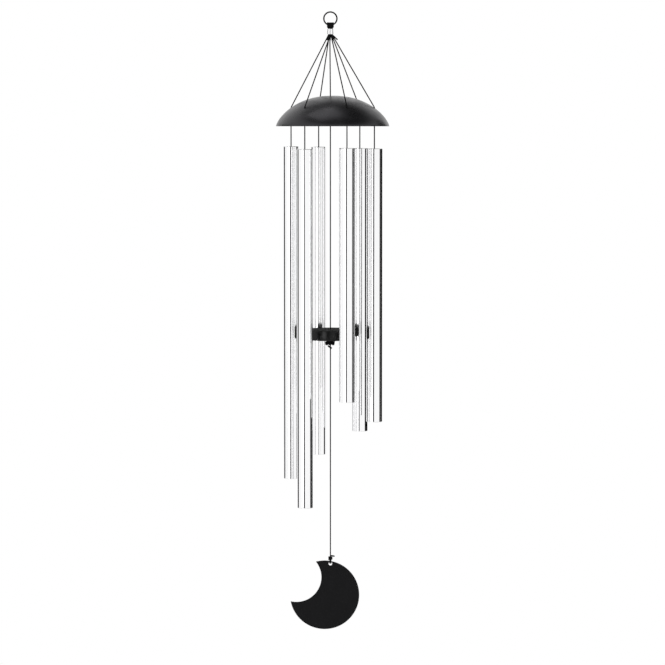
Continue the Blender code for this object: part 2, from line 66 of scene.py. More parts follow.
# Scales of the finishes' patches, shares of each in the tone, and what rubbing does.
MOTTLE_SCALE = 38.0
SMEAR_SCALE = 22.0
RUB_SCALE = 260.0
SPECK_SHARE = 0.45
PATCH_SHARE = 0.35
STREAK_SHARE = 0.4
TARNISH = 0.06
TARNISH_COLOUR = (0.6, 0.6, 0.62)
RUB_POLISH = 0.12
RUB_LIGHT = 0.01
BRAID_DEPTH = 0.00009

# Dark upright flags in the surroundings, in degrees: bearing from the front,
# half width, softness. They fade out between two heights on a sphere of radius 1.
FLAGS = ((-10.0, 8.5, 1.5), (-115.0, 15.0, 2.0), (94.0, 12.5, 3.0))
FLAGS_END = (0.24, 0.34)
# Direction of the ceiling's dark middle, and the cosines of the angles from it
# where the dark starts and is whole.
CEILING = (0.15, -0.10, 0.98)
CEILING_EDGE = (0.51, 0.83)
# The flag behind the right-hand tubes: its ends seen from above, the shares of
# its length where its top starts to rise and has risen, and its highest edge.
FLAG_ENDS = ((0.072, 0.0885), (0.9, 0.234))
FLAG_RISE = (0.17, 0.26)
FLAG_TOP = 0.05
# Distances from the middle of the floor between which it fades to white.
FLOOR_FADE = (0.5, 1.5)
# Between one reflection and two, and between the striker's side and its faces.
FIRST_DEPTH = 1.5
FLAT = 0.8

# Play between pieces, and bends and edges of pieces, in metres.
GAP = 0.0003
RING_CLEARANCE = 0.0007
LEG_BELOW_SLEEVE = 0.0005
LOOP_BEND = 0.0009
CORD_BEND = 0.0012
CORD_END_ABOVE_KNOT = 0.0005
SLEEVE_LIP = 0.0003
SLEEVE_EDGE = 0.0004
DOME_EDGE = 0.0007
PIN_EDGE = 0.0004
LINE_BELOW_KNOT = 0.0015
LINE_INTO_SAIL_KNOT = 0.0033
LEG_BELOW_LINE = 0.0047
# Widths of the rubbed edges.
RING_RUB = 0.003
DOME_RUB = 0.0008
STRIKER_RUB = 0.0016
SAIL_RUB = 0.00002

# Loops on the ring: how far round the wire they go, and how much of the wire's
# curve the outer ones take up.
LOOP_DIP = radians(30)
LOOP_SLACK = 0.8
# The dome's outline, a rounded power curve.
DOME_CROWN = 2.2
DOME_SHOULDER = 0.7
# A cord's melted end: its turns in radians, and its length in radii.
BEAD_TURNS = (0.5, 0.95, 1.35)
BEAD_LENGTH = 0.7
# Knots under the dome, in shares of the cord's or the knot's width, and how far
# each is turned from the last.
KNOT_DEPTH = 0.62
KNOT_STRAND = 0.76
KNOT_CORE = 1.32
CORE_SHARE = 0.2
HANGER_SHARE = 0.3
KNOT_TURN = 1.1
# The striker's knot, along its length: half of it, a step and a pair of wraps,
# the reach of the bend at its end, the core's points and the under layer's ends.
BARREL_HALF = 0.0072
BARREL_STEP = 0.0020
BARREL_PAIR = 0.0056
BARREL_BEND = 0.0012
BARREL_CORE = (0.0064, 0, -0.004)
BARREL_WRAPS = 5.5
UNDER_ENDS = (-0.0066, 0.0060)
UNDER_WRAPS = 6.5
UNDER_SHARE = 0.66
# The sail's knot and the legs under it: where they part below the first wrap,
# and where they start to. Then both knots' tails, as (across, below or above).
SAIL_WRAPS = 2.5
SAIL_WRAP_GAP = 0.0006
SAIL_LEGS_APART = 0.00095
LEGS_EDGE = 0.0024
LEGS_FORK = 0.0028
LEGS_CORNER = 0.0005
LEGS_BEND = 0.0008
TAIL_BEND = 0.0006
TAIL_FORWARD = 0.55
LINE_TAIL = ((-0.0036, 0.0016), (0.0018, 0.0054))
SAIL_TAIL = ((0, 0.0003), (0.0016, 0.0024))
SAIL_TAIL_END = 0.0015
BAY_BEARING = radians(147.8)
# How much fuller than the plain cord its ends, wraps and tails are.
BARREL_SWELL = 1.08
END_SWELL = 1.2
WRAP_SWELL = 1.3
TAIL_SWELL = 1.5

# From left to right on the ring: the hole that a cord runs to, the leg that
# runs there, and the lean and length of its trimmed end.
CORD_RUNS = (
    (2, BACK, (-0.48, -0.12), 0.0108),
    (3, BACK, (-0.36, -0.25), 0.0106),
    (CENTRE, BACK, (-0.24, 0.08), 0.0100),
    (1, FRONT, (-0.05, 0.42), 0.0105),
    (6, FRONT, (0.30, 0.10), 0.0102),
    (4, BACK, (0.36, -0.46), 0.0112),
    (5, FRONT, (1.08, 0.22), 0.0130),
)


def length(name, description, default, low=0.0001, high=2.0):
    """Return a property for a length in metres."""
    return FloatProperty(name=name, description=description, default=default, min=low,
                         max=high, subtype="DISTANCE", unit="LENGTH", precision=5)


def colour(name, description, default):
    """Return a property for a colour."""
    return FloatVectorProperty(name=name, description=description, default=default,
                               size=3, min=0.0, max=1.0, subtype="COLOR")


def share(name, description, default, high=1.0):
    """Return a property for a plain factor."""
    return FloatProperty(name=name, description=description, default=default, min=0.0,
                         max=high, subtype="FACTOR")


def pixels(name, description, default):
    """Return a property for a distance in the picture, in pixels."""
    return FloatProperty(name=name, description=description, default=default, min=0.0,
                         max=9000.0)


class ChimeSizes(bpy.types.PropertyGroup):
    """Sizes of the chime's pieces."""

    cord: length("Cord", "Thickness of the braided cord", 0.0015)
    fullness: share("Cord fullness", "Swelling of the braid beyond its thickness", 1.4,
                    2.0)
    cord_steps: IntProperty(name="Cord steps", description="Sides round a cord",
                            default=12, min=6, max=32)
    knot: length("Dome knot", "Width of a knot under the dome", 0.005)
    ring_wire: length("Ring wire", "Thickness of the hang ring's wire", 0.0026)
    loop_spacing: length("Loop spacing", "Gap between loops on the ring", 0.0002)
    sleeve_spacing: length("Strand spacing", "Gap between strands in the sleeve", 0.0004)
    sleeve_wall: length("Sleeve wall", "Wall at the sleeve's top", 0.0011)
    dome_wall: length("Dome wall", "Thickness of the dome's metal", 0.0016)
    dome_hole: length("Cord hole", "Width of a cord's hole in the dome", 0.0032)
    tube_wall: length("Tube wall", "Thickness of a tube's wall", 0.002)
    tube_edge: length("Tube edge", "Rounding on a tube's cut ends", 0.0009)
    pin: length("Cross pin", "Thickness of the pin across a tube", 0.003)
    pin_depth: length("Pin depth", "Distance from a tube's top to its pin", 0.010)
    striker_edge: length("Striker edge", "Rounding on the striker's edges", 0.0018)
    striker_crown: length("Striker crown", "Swell of the striker's side", 0.0007)
    striker_hole: length("Striker hole", "Width of the striker's hole", 0.0024)
    sail_edge: length("Sail edge", "Rounding on the sail's edges", 0.0004)
    sail_hole: length("Sail hole", "Width of the sail's hole", 0.0066)
    sail_bay: length("Sail bay", "Width of the sail's round bay", 0.0908)
    bay_offset: length("Bay offset", "Distance from sail's middle to bay's", 0.0606)


class ChimeColours(bpy.types.PropertyGroup):
    """Colours and gloss of the chime's finishes."""

    cord: colour("Cord", "Black braided cord", (0.003, 0.003, 0.003))
    # Painted highlight: the lighter colour that the braid's crests get.
    cord_crest_light: colour("Cord crest light", "Lit threads of the cord", (0.010, 0.010, 0.0105))
    coating: colour("Dome coating", "Satin black coating on the dome",
                    (0.006, 0.006, 0.0065))
    coating_high: colour("Dome mottle", "Lighter grains in the dome's coating",
                         (0.010, 0.010, 0.011))
    coating_shine: colour("Dome shine", "Tint of the light on the dome's coating",
                          (0.95, 0.92, 1.0))
    paint: colour("Striker paint", "Satin black paint on wood", (0.006, 0.006, 0.006))
    sail: colour("Sail coating", "Matt black coating", (0.0048, 0.0048, 0.0054))
    steel: colour("Ring coating", "Black coating on the wire ring",
                  (0.002, 0.002, 0.002))
    aluminium: colour("Aluminium", "Polished tubes and sleeve", (0.955, 0.955, 0.960))
    bore: colour("Bore", "Drawn metal inside a tube", (0.55, 0.55, 0.56))
    pin: colour("Pin", "Plain steel of the cross pins", (0.48, 0.48, 0.48))
    tube_gloss: share("Tube roughness", "Roughness of the polished tubes", 0.07)
    dome_gloss: share("Dome roughness", "Roughness of the dome's coating", 0.30)


class ChimeStudio(bpy.types.PropertyGroup):
    """Camera, floor and light."""

    distance: length("Camera distance", "From the chime to the camera", 5.0, 0.5, 20.0)
    camera_height: length("Camera height", "Eye level", -0.2093, -5.0, 5.0)
    camera_across: length("Camera across", "Sideways place", 0.0038, -5.0, 5.0)
    horizon: pixels("Horizon", "Eye level in the picture, below its top", 130.0)
    focus: pixels("Focal length", "The camera's focal length", 2781.0)
    floor: length("Floor", "Height of the floor", -1.5, -10.0, 0.0)
    fill: share("Fill", "Brightness of the surroundings on matt surfaces", 0.75)
    repeated: share("Repeated", "Brightness of the surroundings in repeated reflections",
                    0.85)
    ceiling: share("Ceiling", "Brightness of the ceiling over the chime", 0.05)
    overhead: share("Overhead", "Power of the lamp over the dome", 4.2, 100.0)
    side: share("Side", "Power of the lamp at the left", 10.0, 100.0)
    flag_dark: share("Flag", "Brightness of the dark flags in reflections", 0.004)


def measures():
    """Return the chime's sizes."""
    return bpy.context.scene.chime_sizes


def colours():
    """Return the colours and gloss of the chime's finishes."""
    return bpy.context.scene.chime_colours


def studio():
    """Return the settings of the camera, the floor and the light."""
    return bpy.context.scene.chime_studio


# Shader nodes

def feed(tree, socket, value):
    """Link a socket to another, or set its value."""
    if isinstance(value, bpy.types.NodeSocket):
        tree.links.new(value, socket)
    else:
        socket.default_value = value


def node(tree, kind, *inputs, **settings):
    """Add a node, set it, and feed its inputs in order."""
    made = tree.nodes.new(kind)
    for key, value in settings.items():
        setattr(made, key, value)
    for socket, value in zip(made.inputs, inputs):
        if value is not None:
            feed(tree, socket, value)
    return made


def calc(tree, operation, *inputs):
    """Return the result of a Math node."""
    return node(tree, "ShaderNodeMath", *inputs, operation=operation).outputs[0]


def blend_colour(tree, factor, first, second, blend="MIX"):
    """Return a mix of two colours."""
    mix = node(tree, "ShaderNodeMix", data_type="RGBA", blend_type=blend)
    feed(tree, mix.inputs["Factor"], factor)
    for socket, value in zip(mix.inputs[6:8], (first, second)):
        feed(tree, socket, value if isinstance(value, bpy.types.NodeSocket)
             else (*value, 1.0))
    return mix.outputs[2]


def ramp(tree, value, low, high, to_low=0.0, to_high=1.0):
    """Return a value moved smoothly from one range to another."""
    return node(tree, "ShaderNodeMapRange", value, low, high, to_low, to_high,
                interpolation_type="SMOOTHSTEP").outputs[0]


def noise(tree, place, scale, detail, roughness):
    """Return the value of a noise texture."""
    return node(tree, "ShaderNodeTexNoise", place, None, scale, detail,
                roughness).outputs[0]


def own_place(tree):
    """Return a point's place in its piece's own space."""
    return node(tree, "ShaderNodeTexCoord").outputs["Object"]


def effect(name, inputs, outputs):
    """Start a node group and return its tree, its inputs and its outputs."""
    tree = bpy.data.node_groups.new(name, "ShaderNodeTree")
    for label, value in inputs.items():
        plain = isinstance(value, float)
        kind = "NodeSocketFloat" if plain else "NodeSocketColor"
        socket = tree.interface.new_socket(name=label, in_out="INPUT", socket_type=kind)
        socket.default_value = value if plain else (*value, 1.0)
    for label in outputs:
        kind = "NodeSocketColor" if label == "Colour" else "NodeSocketFloat"
        tree.interface.new_socket(name=label, in_out="OUTPUT", socket_type=kind)
    given = tree.nodes.new("NodeGroupInput").outputs
    return tree, given, tree.nodes.new("NodeGroupOutput").inputs


def braid_effect():
    """Strands that cross over and under each other round a cord, and a mask of their
    crests for a painted highlight.
    """
    tree, given, made = effect("Braid", {"Strands": 8.0, "Slope": 1.0},
                               ["Height", "Crest light"])
    place = node(tree, "ShaderNodeSeparateXYZ",
                 node(tree, "ShaderNodeUVMap", uv_map="cord").outputs[0])
    along = calc(tree, "MULTIPLY", place.outputs[1], given["Slope"])
    lays = [calc(tree, "MULTIPLY", calc(tree, way, place.outputs[0], along),
                 given["Strands"]) for way in ("ADD", "SUBTRACT")]
    left, right = (calc(tree, "SINE", calc(tree, "MULTIPLY", calc(tree, "FRACT", lay),
                                           pi)) for lay in lays)
    whole = calc(tree, "ADD", *[calc(tree, "FLOOR", lay) for lay in lays])
    over = calc(tree, "FLOORED_MODULO", whole, 2.0)
    step = calc(tree, "MULTIPLY", calc(tree, "SUBTRACT", left, right), over)
    height = calc(tree, "ADD", right, step)
    feed(tree, made["Height"], height)
    # Mask of the strands' crests, for a painted highlight on the braid.
    feed(tree, made["Crest light"], calc(tree, "POWER", height, 2.0))
    return tree


def coating_effect():
    """Fine grain and faint mottling of a sprayed coating."""
    tree, given, made = effect(
        "Coating", {"Grain size": 0.0006, "Colour": (0.02, 0.02, 0.02),
                    "Mottle": (0.03, 0.03, 0.03), "Roughness": 0.45, "Spread": 0.06},
        ["Colour", "Roughness", "Height"])
    place = own_place(tree)
    fine = calc(tree, "DIVIDE", 1.0, given["Grain size"])
    grain = noise(tree, place, fine, 2.0, 0.5)
    speck = ramp(tree, grain, 0.55, 0.8)
    patch = ramp(tree, noise(tree, place, MOTTLE_SCALE, 3.0, 0.55), 0.35, 0.65)
    tone = calc(tree, "ADD", calc(tree, "MULTIPLY", speck, SPECK_SHARE),
                calc(tree, "MULTIPLY", patch, PATCH_SHARE))
    feed(tree, made["Colour"],
         blend_colour(tree, tone, given["Colour"], given["Mottle"]))
    swing = calc(tree, "MULTIPLY", calc(tree, "SUBTRACT", patch, 0.5), given["Spread"])
    feed(tree, made["Roughness"], calc(tree, "ADD", given["Roughness"], swing))
    feed(tree, made["Height"], grain)
    return tree


def drawn_effect():
    """Lengthwise lines and soft smears on drawn, polished metal."""
    tree, given, made = effect(
        "Drawn metal", {"Line width": 0.0004, "Line length": 0.12,
                        "Colour": (0.9, 0.9, 0.9), "Roughness": 0.1, "Spread": 0.04},
        ["Colour", "Roughness", "Height"])
    place = own_place(tree)
    thin = calc(tree, "DIVIDE", 1.0, given["Line width"])
    long = calc(tree, "DIVIDE", 1.0, given["Line length"])
    stretch = node(tree, "ShaderNodeCombineXYZ", thin, thin, long).outputs[0]
    drawn = node(tree, "ShaderNodeVectorMath", place, stretch, operation="MULTIPLY")
    lines = noise(tree, drawn.outputs[0], 1.0, 3.0, 0.6)
    streak = ramp(tree, lines, 0.35, 0.7)
    cloud = ramp(tree, noise(tree, place, SMEAR_SCALE, 3.0, 0.5), 0.4, 0.7)
    amount = calc(tree, "ADD", calc(tree, "MULTIPLY", streak, STREAK_SHARE),
                  calc(tree, "MULTIPLY", cloud, 1 - STREAK_SHARE))
    dulled = calc(tree, "MULTIPLY", amount, given["Spread"])
    feed(tree, made["Roughness"], calc(tree, "ADD", given["Roughness"], dulled))
    shade = calc(tree, "MULTIPLY", amount, TARNISH)
    feed(tree, made["Colour"], blend_colour(tree, shade, given["Colour"],
                                            TARNISH_COLOUR, "MULTIPLY"))
    feed(tree, made["Height"], lines)
    return tree


def rub_effect():
    """Where handling has polished an edge, broken up unevenly."""
    tree, given, made = effect("Rubbed edge", {"Amount": 0.5}, ["Mask"])
    edge = node(tree, "ShaderNodeAttribute", attribute_name="rub").outputs["Fac"]
    patch = noise(tree, own_place(tree), RUB_SCALE, 3.0, 0.6)
    broken = ramp(tree, patch, 0.4, 0.62)
    mask = calc(tree, "MULTIPLY", calc(tree, "MULTIPLY", edge, broken), given["Amount"])
    feed(tree, made["Mask"], mask)
    return tree


EFFECTS = {
    "Braid": braid_effect,
    "Coating": coating_effect,
    "Drawn metal": drawn_effect,
    "Rubbed edge": rub_effect,
}


def use_effect(tree, name, **values):
    """Place an effect's group in a material with its own values."""
    made = tree.nodes.new("ShaderNodeGroup")
    made.node_tree = bpy.data.node_groups.get(name) or EFFECTS[name]()
    set_up(made, **{label: (*value, 1.0) if hasattr(value, "__len__") else value
                    for label, value in values.items()})
    return made


def new_finish(name):
    """Return a new material, its tree and its shader."""
    material = bpy.data.materials.new(name)
    material.use_nodes = True
    return material, material.node_tree, material.node_tree.nodes["Principled BSDF"]


def set_up(made, **values):
    """Set the plain values of a node's own sockets."""
    for label, value in values.items():
        made.inputs[label.replace("_", " ")].default_value = value


def bump(tree, shader, height, depth):
    """Feed a height to the shader's normal."""
    made = node(tree, "ShaderNodeBump")
    set_up(made, Strength=1.0, Distance=depth)
    feed(tree, made.inputs["Height"], height)
    feed(tree, shader.inputs["Normal"], made.outputs[0])


def cord_finish():
    """Black braided cord, with a painted highlight on its strands' crests and painted
    shade in its grooves.
    """
    found = bpy.data.materials.get("black_cord")
    if found:
        return found
    material, tree, shader = new_finish("black_cord")
    braid = use_effect(tree, "Braid", Strands=8.0, Slope=1.0)
    # Painted highlight and shade: the braid's crests take the lighter colour, its grooves
    # the darker.
    feed(tree, shader.inputs["Base Color"],
         blend_colour(tree, braid.outputs["Crest light"], colours().cord, colours().cord_crest_light))
    set_up(shader, Roughness=0.9, Specular_IOR_Level=0.12)
    bump(tree, shader, braid.outputs["Height"], BRAID_DEPTH)
    return material


def coated_finish(name, base, high, grain, depth, gloss, specular, rub=0.4, tint=WHITE):
    """A sprayed or painted coating, a little shinier along its edges."""
    material, tree, shader = new_finish(name)
    coat = use_effect(tree, "Coating", Grain_size=grain, Colour=base, Mottle=high,
                      Roughness=gloss, Spread=0.08)
    edge = use_effect(tree, "Rubbed edge", Amount=rub).outputs["Mask"]
    rubbed = [min(1.0, part + RUB_LIGHT) for part in lighter(high, 2.2)]
    feed(tree, shader.inputs["Base Color"],
         blend_colour(tree, edge, coat.outputs["Colour"], rubbed))
    polish = calc(tree, "MULTIPLY", edge, RUB_POLISH)
    feed(tree, shader.inputs["Roughness"],
         calc(tree, "SUBTRACT", coat.outputs["Roughness"], polish))
    set_up(shader, Specular_IOR_Level=specular, Specular_Tint=(*tint, 1.0))
    bump(tree, shader, coat.outputs["Height"], depth)
    return material


def metal_finish(name, base, gloss, spread, width, run, depth):
    """Drawn and polished metal."""
    material, tree, shader = new_finish(name)
    drawn = use_effect(tree, "Drawn metal", Line_width=width, Line_length=run,
                       Colour=base, Roughness=gloss, Spread=spread)
    feed(tree, shader.inputs["Base Color"], drawn.outputs["Colour"])
    feed(tree, shader.inputs["Roughness"], drawn.outputs["Roughness"])
    set_up(shader, Metallic=1.0)
    bump(tree, shader, drawn.outputs["Height"], depth)
    return material


def lighter(base, factor):
    """Return a colour made lighter by a factor."""
    return [factor * part for part in base]


def to_surface(tree, surface):
    """Send a shader to the material's output."""
    feed(tree, tree.nodes["Material Output"].inputs["Surface"], surface)


# Points and routes

def arc(count, first, last):
    """Return evenly spaced angles from first to last, both included."""
    return [first + (last - first) * step / count for step in range(count + 1)]


def eased(points, reach, steps=4, closed=False):
    """Return the points with each corner rounded over a reach to either side."""
    points = [Vector(point) for point in points]
    count = len(points)
    smooth = [] if closed else [points[0]]
    for index in range(count) if closed else range(1, count - 1):
        corner = points[index]
        before = points[index - 1] - corner
        after = points[(index + 1) % count] - corner
        start = corner + before.normalized() * min(reach, before.length * 0.45)
        end = corner + after.normalized() * min(reach, after.length * 0.45)
        for step in range(steps + 1):
            part = step / steps
            smooth.append(start * (1 - part) ** 2 + corner * 2 * part * (1 - part)
                          + end * part ** 2)
    if not closed:
        smooth.append(points[-1])
    return smooth


def corners(name):
    """Return the lowest and highest corners of a plain node's box."""
    return [Vector(corner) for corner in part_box(name)]


def middle(name):
    """Return the middle of a plain node's box."""
    low, high = corners(name)
    return (low + high) / 2


def span(name):
    """Return the size of a plain node's box."""
    low, high = corners(name)
    return high - low


# Making pieces

def new_piece(name, shape, material, at=(0, 0, 0)):
    """Turn a bmesh into a smooth object with sharp creases."""
    mesh = bpy.data.meshes.new(name)
    shape.to_mesh(mesh)
    shape.free()
    mesh.shade_smooth()
    mesh.set_sharp_from_angle(angle=SHARP_ANGLE)
    mesh.materials.append(material)
    piece = bpy.data.objects.new(name, mesh)
    piece.location = at
    bpy.context.collection.objects.link(piece)
    return piece


def fit_piece(piece, body, nodes):
    """Ride a piece on its body, in place of its plain nodes."""
    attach(piece, body)
    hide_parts(*nodes)


def laid(shape, axis):
    """Turn a shape by a right angle about an axis."""
    bmesh.ops.rotate(shape, verts=shape.verts, cent=(0, 0, 0),
                     matrix=Matrix.Rotation(pi / 2, 3, axis))
    return shape


def turned(profile, steps):
    """Turn a closed profile of (radius, height) points about the vertical."""
    shape = bmesh.new()
    points = [shape.verts.new((spot[0], 0, spot[1])) for spot in profile]
    edges = [shape.edges.new(pair) for pair in zip(points, points[1:] + points[:1])]
    bmesh.ops.spin(shape, geom=points + edges, cent=(0, 0, 0), axis=(0, 0, 1),
                   angle=tau, steps=steps)
    bmesh.ops.remove_doubles(shape, verts=shape.verts, dist=MERGE_DISTANCE)
    bmesh.ops.recalc_face_normals(shape, faces=shape.faces)
    return shape


def drill(piece, rods):
    """Drill holes in a piece, given as (start, end, radius) in its own space."""
    shape = bmesh.new()
    for start, end, radius in rods:
        along = Vector(end) - Vector(start)
        turn = along.to_track_quat("Z", "Y").to_matrix().to_4x4()
        place = Matrix.Translation((Vector(start) + Vector(end)) / 2)
        bmesh.ops.create_cone(shape, cap_ends=True, segments=DRILL_SIDES,
                              radius1=radius, radius2=radius, depth=along.length,
                              matrix=place @ turn)
    mesh = bpy.data.meshes.new("drill")
    shape.to_mesh(mesh)
    shape.free()
    cutter = bpy.data.objects.new("drill", mesh)
    cutter.location = piece.location
    bpy.context.collection.objects.link(cutter)
    modifier = piece.modifiers.new("drill", "BOOLEAN")
    modifier.object = cutter
    modifier.solver = "EXACT"
    apply_modifiers(piece)
    bpy.data.objects.remove(cutter, do_unlink=True)
    piece.data.set_sharp_from_angle(angle=SHARP_ANGLE)


def apply_modifiers(piece):
    """Swap a piece's mesh for what its modifiers make of it."""
    bpy.context.view_layer.update()
    graph = bpy.context.evaluated_depsgraph_get()
    mesh = bpy.data.meshes.new_from_object(
        piece.evaluated_get(graph), preserve_all_data_layers=True, depsgraph=graph)
    piece.modifiers.clear()
    piece.data = mesh


def even_shading(piece):
    """Keep broad faces evenly shaded up to their creases."""
    modifier = piece.modifiers.new("even_shading", "WEIGHTED_NORMAL")
    modifier.keep_sharp = True
    apply_modifiers(piece)


def mark_rubbed(piece, rule):
    """Store how far each point is a rubbed edge, from 0 to 1."""
    layer = piece.data.attributes.new("rub", "FLOAT", "POINT")
    for point, value in zip(piece.data.vertices, layer.data):
        value.value = rule(point.co)


def cord_rings(route, radius):
    """Return the rings of a cord as (centre, across, up, radius, distance)."""
    route = [Vector(spot) for spot in route]
    heading = (route[1] - route[0]).normalized()
    across = heading.orthogonal().normalized()
    rings = []
    travelled = 0.0
    for index, spot in enumerate(route):
        before = route[max(index - 1, 0)]
        after = route[min(index + 1, len(route) - 1)]
        turned_to = (after - before).normalized()
        across = heading.rotation_difference(turned_to) @ across
        heading = turned_to
        travelled += (spot - before).length
        rings.append((spot, across, heading.cross(across), heading, travelled))
    capped = []
    for ring, sign in ((rings[0], -1), (rings[-1], 1)):
        spot, across, up, heading, travelled = ring
        bead = []
        for turn in BEAD_TURNS:
            out = sign * radius * BEAD_LENGTH * sin(turn)
            bead.append((spot + heading * out, across, up,
                         radius * cos(turn), travelled + out))
        capped.append(bead)
    body = [(spot, across, up, radius, travelled)
            for spot, across, up, heading, travelled in rings]
    return capped[0][::-1] + body + capped[1]


def add_cord(shape, route, thickness):
    """Add a round cord with melted ends, and UVs round and along it."""
    sides = measures().cord_steps
    layer = shape.loops.layers.uv.get("cord") or shape.loops.layers.uv.new("cord")
    girth = pi * measures().cord
    rings = []
    for spot, across, up, radius, travelled in cord_rings(
            route, thickness * measures().fullness / 2):
        points = [shape.verts.new(spot + (across * cos(turn) + up * sin(turn))
                                  * radius)
                  for turn in arc(sides, 0, tau)[:-1]]
        rings.append((points, travelled / girth))
    for (low, low_v), (high, high_v) in zip(rings, rings[1:]):
        for side in range(sides):
            after = (side + 1) % sides
            face = shape.faces.new((low[side], low[after], high[after], high[side]))
            u = side / sides
            spots = ((u, low_v), (u + 1 / sides, low_v), (u + 1 / sides, high_v),
                     (u, high_v))
            for loop, spot in zip(face.loops, spots):
                loop[layer].uv = spot
    for points in (rings[0][0][::-1], rings[-1][0]):
        face = shape.faces.new(points)
        for loop in face.loops:
            loop[layer].uv = (0.5, 0.0)


def cord_piece(name, body, plain, runs, at=(0, 0, 0), turn=0.0):
    """Make a piece of runs of cord, each a route and a thickness, and fit it."""
    shape = bmesh.new()
    for route, thickness in runs:
        add_cord(shape, route, thickness)
    piece = new_piece(name, shape, cord_finish(), at)
    piece.rotation_euler.z = turn
    fit_piece(piece, body, [plain])


# Hang ring, sleeve and the cords above the dome

def ring_sizes():
    """Return the hang ring's centre and the radius to its wire's middle."""
    wire = measures().ring_wire / 2
    return middle("hang_ring"), span("hang_ring").x / 2 - wire


def make_ring():
    """Bend and coat the hang ring."""
    centre, radius = ring_sizes()
    wire = measures().ring_wire / 2
    profile = [(radius + wire * cos(turn), wire * sin(turn))
               for turn in arc(24, 0, tau)[:-1]]
    finish = coated_finish("ring_coating", colours().steel, lighter(colours().steel, 2),
                           grain=0.0004, depth=0.00001, gloss=0.5, specular=0.06,
                           rub=0.3)
    piece = new_piece("welded_ring", laid(turned(profile, 128), "X"), finish, centre)
    mark_rubbed(piece, lambda spot: max(0.0, 1 - abs(spot.z - radius) / RING_RUB)
                if hypot(spot.x, spot.z) < radius else 0.0)
    fit_piece(piece, "ring", ["hang_ring"])


def wire_height(across):
    """Return the height of the ring wire's middle, at a distance from centre."""
    centre, radius = ring_sizes()
    return centre.z - sqrt(radius ** 2 - across ** 2)


def sleeve_ends():
    """Return the heights of the sleeve's top and foot."""
    low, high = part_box("sleeve")
    return high[2], low[2]


def strand_places(slot):
    """Return a cord's place across the ring and sleeve, and its row's depth."""
    step = slot - len(CORD_RUNS) // 2
    pitch = measures().cord + measures().sleeve_spacing
    row = pitch / 2
    if slot % 2:
        row += pitch * sin(pi / 3)
    return step * (measures().cord + measures().loop_spacing), step * pitch / 2, row


def strand_radius():
    """Return the radius of a cord with its braid's swelling."""
    return measures().cord * measures().fullness / 2


def loop_over_ring(slot):
    """Return a cord's route from its back leg's foot to its front leg's foot."""
    top, foot = sleeve_ends()
    across, packed, row = strand_places(slot)
    tight = measures().ring_wire / 2 + RING_CLEARANCE + strand_radius()
    radius = max(tight, row)
    dip = LOOP_DIP if row < tight else 0.0
    wire = wire_height(across)
    slack = LOOP_SLACK * (wire_height(strand_places(0)[0]) - wire)
    over = [(across, radius * cos(turn),
             wire + radius * sin(turn) + slack * max(0.0, sin(turn)))
            for turn in arc(16, -dip, pi + dip)]
    knee = wire - radius
    if dip:
        knee = wire - radius * sin(dip)
        knee -= (radius * cos(dip) - row) / tan(dip)
    back = [(packed, row, foot - LEG_BELOW_SLEEVE), (packed, row, top),
            (across, row, knee)]
    front = [(spot[0], -spot[1], spot[2]) for spot in reversed(back)]
    return (eased([*back, over[0]], LOOP_BEND)[:-1] + [Vector(spot) for spot in over]
            + eased([over[-1], *front], LOOP_BEND)[1:])


def knot_name(number):
    """Return the name of the plain knot under one of the dome's holes."""
    return f"tube_knot_{number}" if number else "centre_knot"


def hole_place(number):
    """Return where a cord's hole is in the dome, seen from above."""
    spot = middle(knot_name(number))
    return spot.x, spot.y


def upper_route(slot):
    """Return a cord's two runs: over the ring to the dome, and its trimmed end."""
    number, running_leg, lean, trimmed = CORD_RUNS[slot]
    route = loop_over_ring(slot)
    if running_leg == BACK:
        route.reverse()
    free = route[0] + Vector((*lean, -1)).normalized() * trimmed
    place = hole_place(number)
    mouth = (*place, dome_top(place) + CORD_BEND)
    end = (*place, middle(knot_name(number)).z + CORD_END_ABOVE_KNOT)
    eased_end = eased([route[-2], route[-1], mouth, end], CORD_BEND)
    eased_start = eased([free, route[0], route[1]], CORD_BEND)
    return route[:-1] + eased_end[1:], eased_start


def make_sleeve():
    """Turn the bright sleeve that clamps the strands."""
    top, foot = sleeve_ends()
    tall = top - foot
    wide = span("sleeve").x / 2
    places = [strand_places(slot) for slot in range(len(CORD_RUNS))]
    farthest = max(hypot(packed, row) for _, packed, row in places)
    bore = farthest + measures().cord / 2 + GAP
    profile = eased([(bore, 0), (bore + measures().sleeve_wall, 0),
                     (wide, SLEEVE_LIP - tall), (wide, -tall), (bore, -tall)],
                    SLEEVE_EDGE, 4, True)
    finish = metal_finish("sleeve_polish", colours().aluminium, gloss=0.12, spread=0.08,
                          width=0.0002, run=0.002, depth=0.000004)
    piece = new_piece("crimped_sleeve", turned(profile, 96), finish, (0, 0, top))
    even_shading(piece)
    fit_piece(piece, "canopy", ["sleeve"])


def make_upper_cords():
    """Run the cords over the ring, through the sleeve and down to the dome."""
    cord = measures().cord
    for slot, run in enumerate(CORD_RUNS):
        label = run[0] or "centre"
        whole, trimmed = upper_route(slot)
        cord_piece(f"hanging_cord_{label}", "canopy", f"upper_cord_{label}",
                   [(whole, cord), (trimmed, cord * END_SWELL)])


# Dome

def dome_height(radius, skin=0.0):
    """Return the dome's height above its rim, a skin's thickness inside it."""
    size = span("dome")
    part = min(1.0, radius / (size.x / 2 - skin))
    return (size.z - skin) * (1 - part ** DOME_CROWN) ** DOME_SHOULDER


def dome_top(place):
    """Return the height of the dome's outside over a place."""
    centre = middle("dome")
    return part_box("dome")[0][2] + dome_height(hypot(place[0] - centre.x,
                                                    place[1] - centre.y))


def dome_curve(skin):
    """Return (radius, height) points from the dome's middle to its rim."""
    rim = span("dome").x / 2 - skin
    return [(rim * sin(turn), dome_height(rim * sin(turn), skin))
            for turn in arc(72, 0, pi / 2)]


